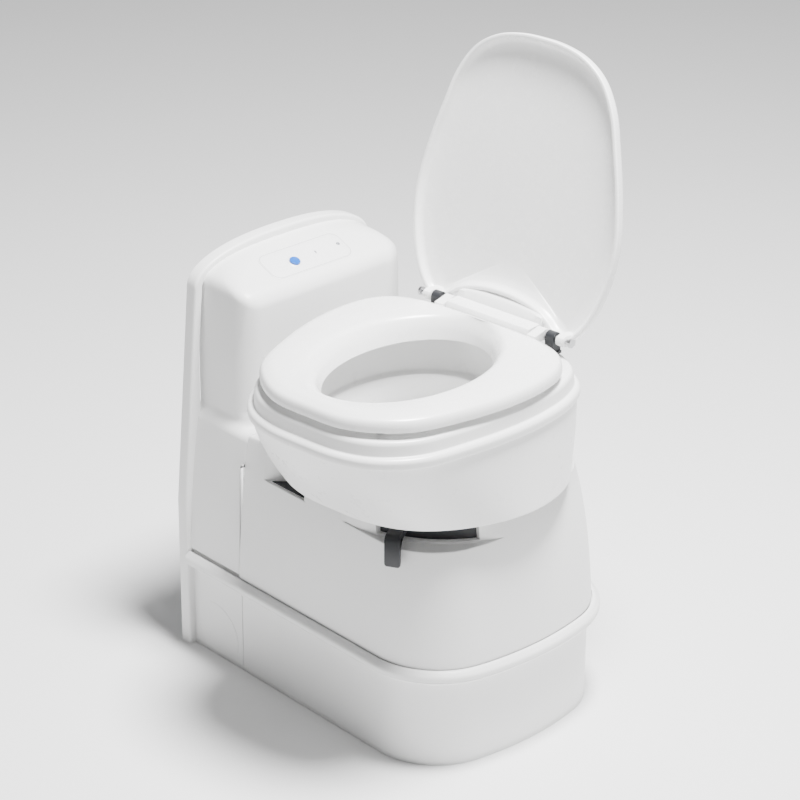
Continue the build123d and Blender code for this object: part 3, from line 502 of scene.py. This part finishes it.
RIM = [(281, 0), (278, 62), (257, 115), (211, 156), (145, 177), (70, 191), (0, 195),
       (-62, 187), (-112, 163), (-142, 112), (-152, 55), (-154, 0)]
SKIRT_LOW = [(212, 0), (210, 52), (194, 104), (161, 146), (110, 180), (52, 200), (-5, 202),
             (-58, 188), (-100, 158), (-130, 112), (-143, 55), (-146, 0)]
SKIRT_MID = [(256, 0), (253, 58), (234, 114), (188, 153), (126, 178), (56, 192), (-8, 195),
             (-62, 185), (-108, 160), (-136, 112), (-147, 55), (-149, 0)]
low, mid = outline(SKIRT_LOW), outline(SKIRT_MID)


def rim_out(d):
    return outline(RIM, out=d)


def skirt_at(z):
    t = (z - 369.0) / 115.0
    a = low * (1 - t) * (1 - 2 * t) + mid_fit * 4 * t * (1 - t) + rim_out(-4.5) * t * (2 * t - 1)
    return bowl_place(a, z)


t_mid = (440.0 - 369.0) / 115.0
mid_fit = (mid - low * (1 - t_mid) * (1 - 2 * t_mid) - rim_out(-4.5) * t_mid * (2 * t_mid - 1))
mid_fit = mid_fit / (4 * t_mid * (1 - t_mid))
bowl_rails = [bowl_place(outline(SKIRT_LOW, out=-4.0), 371.0), bowl_place(outline(SKIRT_LOW, out=-3.2), 369.0),
              bowl_place(low, 369.0)]
bowl_radii = [0, 0.6, 2.0]
for z in range(378, 484, 8):
    bowl_rails.append(skirt_at(z))
    bowl_radii.append(0.0)
for off, z, r in ((-4.5, 484.0, 1.2), (-0.8, 484.6, 1.6), (0.4, 490.0, 0.0), (0.2, 495.5, 2.2),
                  (-3.0, 499.3, 3.0), (-8.8, 500.6, 1.8), (-10.2, 517.0, 2.6),
                  (-13.4, 521.0, 3.0), (-30.0, 521.6, 4.0), (-44.0, 518.0, 4.0)):
    bowl_rails.append(bowl_place(rim_out(off), z))
    bowl_radii.append(r)
basin_profile = ((512.0, 60.0, 178.0, 142.0), (500.0, 60.0, 174.0, 139.0),
                 (476.0, 55.0, 160.0, 132.0), (459.0, 55.0, 152.0, 127.0),
                 (455.5, 55.0, 138.0, 116.0), (430.0, 46.0, 130.0, 107.0),
                 (395.0, 20.0, 114.0, 101.0), (362.0, 6.0, 92.0, 88.0),
                 (322.0, 0.0, 69.0, 68.0), (293.0, 0.0, 52.0, 52.0), (274.5, 0.0, 50.0, 50.0))
basin_radii = (2.0, 4.0, 6.0, 2.5, 3.0, 12.0, 14.0, 14.0, 14.0, 6.0, 0.0)
bowl_white = moulded_plastic("bowl_white", (0.86, 0.86, 0.855), 0.3, 0.35, 0.15, 0.02)
skin("bowl_skirt_rim", [(rounded_rails(bowl_rails, bowl_radii, 5, 9.0), True)], bowl_white, "bowl",
     "bowl_white", ["bowl_skirt"], wall=2.6)
inner = [bowl_place(oval(c, a, b), z) for z, c, a, b in basin_profile]
inner = [bowl_place(oval(60.0, 192.0, 152.0), 513.5)] + inner
skin("bowl_basin_shell", [(rounded_rails(inner, (0,) + basin_radii, 5, 9.0), True)], bowl_white, "bowl",
     "bowl_white", ["bowl_basin"])

# ---------------------------------------------------------------------------
# Seat ring.  White glossy moulding with an upright edge, a broad crown and a
# wide slope into the opening.  Two arms behind it carry the hinge pins.
# ---------------------------------------------------------------------------
SEAT = [(268, 0), (265, 58), (241, 106), (204, 142), (142, 166), (72, 183), (5, 187),
        (-50, 176), (-84, 148), (-99, 106), (-103, 60), (-103, 0)]
seat_white = moulded_plastic("seat_white", (0.9, 0.9, 0.895), 0.26, 0.45, 0.1, 0.015)


def seat_out(d, z):
    return bowl_place(outline(SEAT, out=d), z)


seat_rails = [bowl_place(oval(66, 147, 105), 531.5), seat_out(-8.0, 531.5), seat_out(-2.0, 530.0),
              seat_out(-0.4, 531.0),
              seat_out(0.0, 539.0), seat_out(-3.0, 546.5), seat_out(-16.0, 552.2),
              bowl_place(outline(SEAT, out=-16.0) * 0.5 + oval(72, 161, 117) * 0.5, 552.8),
              bowl_place(oval(72, 159, 116), 549.6), bowl_place(oval(66, 145, 104), 535.0),
              bowl_place(oval(63, 138.6, 96.6), 516.5), bowl_place(oval(63, 140, 98.2), 515.4),
              bowl_place(oval(63, 142, 100.4), 516.5), bowl_place(oval(66, 147, 105), 531.5)]
seat_radii = [0, 1, 1, 1.2, 6, 7, 12, 12, 8, 8, 1, 1, 1, 0]
skin("seat_ring_shell", [(rounded_rails(seat_rails, seat_radii, 6, 8.0), True)], seat_white,
     "seat", "seat_white", ["seat_ring"], crease=60.0)


HINGE = (-122.0, 545.0)


def bar(name, section, v0, v1, material, body, slot, stands_for=(), turn=0.0, hinge=HINGE):
    """A bar along v with a closed (u, z) section, rounded at its ends, turned about the hinge."""
    c, s = math.cos(turn), math.sin(turn)
    sec = [(hinge[0] + (u - hinge[0]) * c - (z - hinge[1]) * s, hinge[1] + (u - hinge[0]) * s + (z - hinge[1]) * c)
           for u, z in section]
    mu, mz = np.mean([p[0] for p in sec]), np.mean([p[1] for p in sec])
    rows = []
    for v, k in ((v0, 0.001), (v0, 0.9), (v0 + 0.8, 1), (v1 - 0.8, 1), (v1, 0.9), (v1, 0.001)):
        rows.append([list(bowl_place([(mu + (u - mu) * k, v)], mz + (z - mz) * k)[0]) for u, z in sec])
    return skin(name, [(np.array(rows), True)], material, body, slot, stands_for)


def eye_section(r, reach, half, n=20):
    """Section of a hinge arm: a round eye that runs into a flat arm of the given reach."""
    pts = [(-122 + r * math.cos(a), 545 + r * math.sin(a)) for a in np.radians(np.linspace(60, 300, n))]
    return pts + [(-122 + reach, 545 - half), (-122 + reach, 545 + half * 0.6)]


for side, name in ((-1, "right"), (1, "left")):
    bar("seat_arm_" + name, eye_section(8.6, 24.0, 7.0), side * 84 - 7.6, side * 84 + 7.6, seat_white,
        "seat", "seat_white")

# ---------------------------------------------------------------------------
# Lid.  White glossy cover, open in the rest position: a smooth dished inner
# face inside a narrow lip, an upright edge and a crowned outer face.  Its rear
# is cut back in a curve round the hinge cover.
# ---------------------------------------------------------------------------
LID_OPEN = math.radians(102.0)
LID_SHIFT = 4.0
LID = [(275, 0), (273, 38), (263, 77), (240, 112), (200, 138), (150, 154), (90, 170), (30, 180),
       (-20, 178), (-66, 167), (-104, 149), (-127, 125), (-124, 98), (-106, 72), (-96, 38), (-93, 0)]


def lid_place(ring, z):
    """Closed-lid coordinates, opened about the hinge."""
    ring = np.asarray(ring, float)
    du, dz = ring[:, 0] + 122.0, np.broadcast_to(z, len(ring)) - 545.0
    u = -122.0 + du * math.cos(LID_OPEN) - dz * math.sin(LID_OPEN)
    height = 545.0 + du * math.sin(LID_OPEN) + dz * math.cos(LID_OPEN)
    return bowl_place(np.column_stack([u, ring[:, 1] - LID_SHIFT]), height)


def lid_out(d, z):
    return lid_place(outline(LID, out=d, ease=6.0), z)


def lid_toward(k, z):
    ring = outline(LID, out=-16.0, ease=6.0)
    mid_u = np.clip(ring[:, :1], -40, 180)
    return lid_place(np.column_stack([mid_u[:, 0] * (1 - k) + ring[:, 0] * k, ring[:, 1] * k]), z)


Z0 = 555.6
lid_rails = [lid_toward(0.0, Z0 + 16.8), lid_toward(0.35, Z0 + 16.6), lid_toward(0.7, Z0 + 15.4),
             lid_toward(0.92, Z0 + 13.6), lid_out(-10.5, Z0 + 9.5), lid_out(-6.5, Z0 + 1.2), lid_out(-4.6, Z0),
             lid_out(-0.8, Z0), lid_out(0, Z0 + 2.0), lid_out(-0.6, Z0 + 13.0), lid_out(-6.0, Z0 + 20.0),
             lid_toward(0.92, Z0 + 21.6), lid_toward(0.7, Z0 + 22.6), lid_toward(0.35, Z0 + 23.4),
             lid_toward(0.0, Z0 + 23.6)]
lid_radii = [0, 8, 8, 8, 6, 2, 1.4, 1.2, 1.6, 8, 8, 8, 8, 8, 0]
skin("lid_shell", [(rounded_rails(lid_rails, lid_radii, 6, 9.0), True)],
     seat_white, "lid", "seat_white", ["lid_cover"], crease=60.0)
for side, name in ((-1, "right"), (1, "left")):
    lug = eye_section(8.6, 12.0, 8.0)[:20] + [(-114, 545), (-113, 569), (-131, 569)]
    bar("lid_lug_" + name, lug, side * 121 - 6.6, side * 121 + 6.6, seat_white, "lid", "seat_white", turn=LID_OPEN)

# ---------------------------------------------------------------------------
# Hinge.  Two charcoal posts on the back of the rim hold plated pins; between
# them a white cover rises from the seat in a crescent up to the open lid.
# ---------------------------------------------------------------------------
def crescent(v):
    """Section of the hinge cover at v: low at the seat, rising to a fin at the back."""
    k = math.sqrt(max(0.0, 1 - (v / 84.0) ** 2))
    fin = 18.0 + 17.5 * k
    pts = []
    for deg in range(-60, 361 - 60, 6):
        a = math.radians(deg)
        if deg <= 118:
            r = 18.2
        elif deg <= 134:
            r = 18.2 + (fin - 18.2) * ((deg - 118) / 16.0) ** 0.8
        elif deg <= 146:
            r = fin
        elif deg <= 200:
            r = fin + (16.0 - fin) * ((deg - 146) / 54.0) ** 0.7
        else:
            r = 16.0 if deg < 215 else 20.0
        top = 552.8 if deg <= 118 else 600.0
        pts.append((-122 + r * math.cos(a), min(top, max(522.0, 545 + r * math.sin(a)))))
    return pts


rows = []
for v in [-83.5] + list(np.linspace(-83, 83, 80)) + [83.5]:
    sec = crescent(v * 0.998)
    mu, mz = -126.0, 545.0
    k = 0.001 if abs(v) > 83.2 else 1.0
    vv = math.copysign(83.0, v) if abs(v) > 83.2 else v
    vv *= 74.5 / 83.0
    rows.append([list(bowl_place([(mu + (u - mu) * k, vv)], mz + (z - mz) * k)[0]) for u, z in sec])
skin("hinge_cover_crescent", [(np.array(rows), True)], seat_white, "bowl", "seat_white", ["hinge_cover"],
     crease=50.0)

# ---------------------------------------------------------------------------
# Flush lever.  Charcoal moulding: a thumb tab that hangs over the housing's
# edge, on an arm that passes through the slot to the drum inside.
# ---------------------------------------------------------------------------
LEVER_A = math.radians(210.5)


def lever_place(r, t, z):
    """r out from the axis, t across the arm."""
    return (r * math.cos(LEVER_A) - t * math.sin(LEVER_A),
            AXIS_Y + r * math.sin(LEVER_A) + t * math.cos(LEVER_A), z)


tab_side = [(158, 353.0), (204, 353.4), (211, 352.0), (215.6, 346.0), (216.0, 312.0), (214.6, 307.4),
            (210.4, 306.6), (208.4, 310.0), (207.6, 334.0), (204.0, 342.6), (196, 344.6), (158, 344.6)]
tab_side = [np.array(p) for p in tab_side]
rows = []
for t, k in ((-10.9, 0.001), (-10.9, 0.82), (-9.8, 0.95), (-8.0, 1.0), (8.0, 1.0), (9.8, 0.95),
             (10.9, 0.82), (10.9, 0.001)):
    row = []
    for p in tab_side:
        mid_r = 205.0 if p[1] > 343 and p[0] < 208 else 211.6
        m = np.array([p[0] if p[0] < 206 else mid_r, 349.0 if p[1] > 343 else max(p[1], 314.0 + abs(t) * 0.6)])
        q = m + (p - m) * k
        row.append(lever_place(q[0], t, q[1]))
    rows.append(row)
skin("flush_lever_tab", [(np.array(rows), True)], charcoal, "lever", "charcoal", ["lever_tab"], crease=50.0)

# ---------------------------------------------------------------------------
# Fixings.  Plated pan-head screws: four in lugs inside the console, two through
# the floor lugs.  Each has a turned head on its shank.
# ---------------------------------------------------------------------------
steel = moulded_plastic("screw_steel", (0.55, 0.55, 0.56), 0.3, 0.0, 0.2)
steel.node_tree.nodes["Principled BSDF"].inputs["Metallic"].default_value = 1.0


def screw_tree():
    """Geometry nodes: one screw, set on every point of the carrier mesh."""
    tree = bpy.data.node_groups.new("pan_head_screws", "GeometryNodeTree")
    for label, kind in (("Points", "NodeSocketGeometry"), ("Head Radius", "NodeSocketFloat"),
                        ("Shank Radius", "NodeSocketFloat"), ("Length", "NodeSocketFloat"),
                        ("Turn", "NodeSocketRotation"), ("Material", "NodeSocketMaterial")):
        tree.interface.new_socket(label, in_out="INPUT", socket_type=kind)
    tree.interface.new_socket("Geometry", in_out="OUTPUT", socket_type="NodeSocketGeometry")
    n, link = tree.nodes, tree.links.new
    given, made = n.new("NodeGroupInput"), n.new("NodeGroupOutput")
    shank, head, dome = (n.new("GeometryNodeMeshCylinder") for _ in range(3))
    for c, sides in ((shank, 20), (head, 32), (dome, 32)):
        c.inputs["Vertices"].default_value = sides
    shift, lift, cap = (n.new("GeometryNodeTransform") for _ in range(3))
    half, up = n.new("ShaderNodeMath"), n.new("ShaderNodeCombineXYZ")
    half.operation = "MULTIPLY"
    half.inputs[1].default_value = -0.5
    small = n.new("ShaderNodeMath")
    small.operation = "MULTIPLY"
    small.inputs[1].default_value = 0.8
    link(given.outputs["Length"], half.inputs[0])
    link(half.outputs[0], up.inputs["Z"])
    link(given.outputs["Shank Radius"], shank.inputs["Radius"])
    link(given.outputs["Length"], shank.inputs["Depth"])
    link(given.outputs["Head Radius"], head.inputs["Radius"])
    link(given.outputs["Head Radius"], small.inputs[0])
    link(small.outputs[0], dome.inputs["Radius"])
    head.inputs["Depth"].default_value = 0.0016
    dome.inputs["Depth"].default_value = 0.0012
    link(shank.outputs["Mesh"], shift.inputs["Geometry"])
    link(up.outputs[0], shift.inputs["Translation"])
    link(head.outputs["Mesh"], lift.inputs["Geometry"])
    lift.inputs["Translation"].default_value = (0, 0, 0.0008)
    link(dome.outputs["Mesh"], cap.inputs["Geometry"])
    cap.inputs["Translation"].default_value = (0, 0, 0.0022)
    join, inst, real, paint = (n.new(t) for t in ("GeometryNodeJoinGeometry", "GeometryNodeInstanceOnPoints",
                                                  "GeometryNodeRealizeInstances", "GeometryNodeSetMaterial"))
    for t in (shift, lift, cap):
        link(t.outputs[0], join.inputs[0])
    link(given.outputs["Points"], inst.inputs["Points"])
    link(join.outputs[0], inst.inputs["Instance"])
    link(given.outputs["Turn"], inst.inputs["Rotation"])
    link(inst.outputs[0], real.inputs[0])
    link(real.outputs[0], paint.inputs[0])
    link(given.outputs["Material"], paint.inputs["Material"])
    link(paint.outputs[0], made.inputs[0])
    return tree


def grown(name, tree, carrier, values, body, stands_for):
    """Runs a geometry-nodes tree on a carrier mesh and keeps the plain mesh it makes."""
    seed = bpy.data.meshes.new(name + "_seed")
    seed.from_pydata(carrier, [], [])
    obj = bpy.data.objects.new(name, seed)
    bpy.context.scene.collection.objects.link(obj)
    mod = obj.modifiers.new("grow", "NODES")
    mod.node_group = tree
    names = {s.name: s.identifier for s in tree.interface.items_tree if s.in_out == "INPUT"}
    for label, value in values.items():
        mod[names[label]] = value
    bpy.context.view_layer.update()
    done = bpy.data.meshes.new_from_object(obj.evaluated_get(bpy.context.evaluated_depsgraph_get()))
    obj.modifiers.remove(mod)
    obj.data = done
    done.name = name
    done.set_sharp_from_angle(angle=math.radians(40))
    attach(obj, body)
    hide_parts(*stands_for)
    return obj


screws = screw_tree()
wall_spots = ((-172.6, 100), (172.6, 100), (-166, 300), (166, 300))
grown("wall_screw_set", screws, [(x * MM, -14 * MM, z * MM) for x, z in wall_spots],
      {"Head Radius": 0.0046, "Shank Radius": 0.0025, "Length": 0.0139, "Turn": (math.pi / 2, 0, 0),
       "Material": steel},
      "base", ["wall_screws"])
grown("floor_screw_set", screws, [(x * MM, -470 * MM, 5 * MM) for x in (-150, 150)],
      {"Head Radius": 0.0065, "Shank Radius": 0.003, "Length": 0.0049, "Turn": (0, 0, 0), "Material": steel},
      "base", ["floor_screws"])

# ---------------------------------------------------------------------------
# Pieces that keep their worked shape: the turning collar and ring, the hinge
# posts and pins, the drum, the inner works and the waste cassette.  Each gets
# the finish of its own plastic, rubber or metal.
# ---------------------------------------------------------------------------
tank_grey = moulded_plastic("tank_grey", (0.55, 0.57, 0.6), 0.5, 0.0, 0.6, 0.06, 900)
works_black = moulded_plastic("works_black", (0.05, 0.05, 0.055), 0.48, 0.0, 0.4, 0.15)
nylon = moulded_plastic("slide_nylon", (0.78, 0.76, 0.7), 0.45, 0.0, 0.2, 0.05)
rubber = moulded_plastic("seal_rubber", (0.03, 0.03, 0.03), 0.7, 0.0, 0.5, 0.2)
pad_rubber = moulded_plastic("pad_grey", (0.5, 0.5, 0.5), 0.65, 0.0, 0.3, 0.05)
laminate = moulded_plastic("board_green", (0.02, 0.16, 0.08), 0.4, 0.3, 0.3, 0.1)
hose = moulded_plastic("hose_clear", (0.6, 0.62, 0.6), 0.35, 0.2, 0.2, 0.05)
finishes = {
    "bearing_ring": nylon, "cassette_guides": nylon, "control_board": laminate, "flush_valve": works_black,
    "supply_hose": hose, "turn_collar": nylon, "hinge_posts": charcoal, "hinge_pins": steel,
    "seat_bumpers": pad_rubber, "lever_drum": charcoal, "cassette_tank": tank_grey, "mechanism_plate": works_black,
    "lip_seal": rubber, "sealing_blade": works_black, "pour_spout": tank_grey, "spout_cap": works_black,
    "vent_plunger": works_black, "cassette_grip": works_black, "level_float": nylon, "wheel_left": works_black,
    "wheel_right": works_black}
for name, finish in finishes.items():
    nodes[name].data.materials.clear()
    nodes[name].data.materials.append(finish)

# ---------------------------------------------------------------------------
# Studio: pale floor, soft overhead light and the camera.
# ---------------------------------------------------------------------------
floor_mesh = bpy.data.meshes.new("studio_floor")
floor_mesh.from_pydata([(-6, -6, 0), (6, -6, 0), (6, 6, 0), (-6, 6, 0)], [], [(0, 1, 2, 3)])
floor = bpy.data.objects.new("studio_floor", floor_mesh)
bpy.context.scene.collection.objects.link(floor)
floor_mesh.materials.append(moulded_plastic("studio_white", (0.9, 0.9, 0.9), 0.9, 0.0, 0.0, 0.0))

world = bpy.data.worlds.new("studio")
bpy.context.scene.world = world
world.use_nodes = True
world.node_tree.nodes["Background"].inputs["Color"].default_value = (1, 1, 1, 1)
world.node_tree.nodes["Background"].inputs["Strength"].default_value = 0.30


def soft_light(name, at, aim_at, size, power):
    lamp = bpy.data.lights.new(name, "AREA")
    lamp.shape = "DISK"
    lamp.size = size
    lamp.energy = power
    obj = bpy.data.objects.new(name, lamp)
    obj.location = at
    obj.rotation_mode = "QUATERNION"
    obj.rotation_quaternion = (Vector(aim_at) - Vector(at)).to_track_quat("-Z", "Y")
    bpy.context.scene.collection.objects.link(obj)


soft_light("overhead", (0.15, -0.8, 2.9), (0.0, -0.3, 0.4), 0.8, 325.0)
soft_light("front_fill", (1.6, -3.2, 1.2), (0.0, -0.3, 0.3), 1.6, 26.0)

lens = bpy.data.cameras.new("camera")
lens.lens = 127.97
lens.sensor_width = 36.0
lens.clip_start, lens.clip_end = 0.1, 50.0
camera = bpy.data.objects.new("camera", lens)
az, el, roll = math.radians(42.730), math.radians(25.727), math.radians(0.295)
back = Vector((-math.sin(az) * math.cos(el), -math.cos(az) * math.cos(el), math.sin(el)))
camera.location = Vector((-0.0353, -0.3064, 0.4562)) + 3.9519 * back
right = (-back).cross(Vector((0, 0, 1))).normalized()
up = right.cross(-back)
right, up = math.cos(roll) * right + math.sin(roll) * up, math.cos(roll) * up - math.sin(roll) * right
camera.rotation_mode = "QUATERNION"
camera.rotation_quaternion = Matrix((right, up, back)).transposed().to_quaternion()
bpy.context.scene.collection.objects.link(camera)
bpy.context.scene.camera = camera
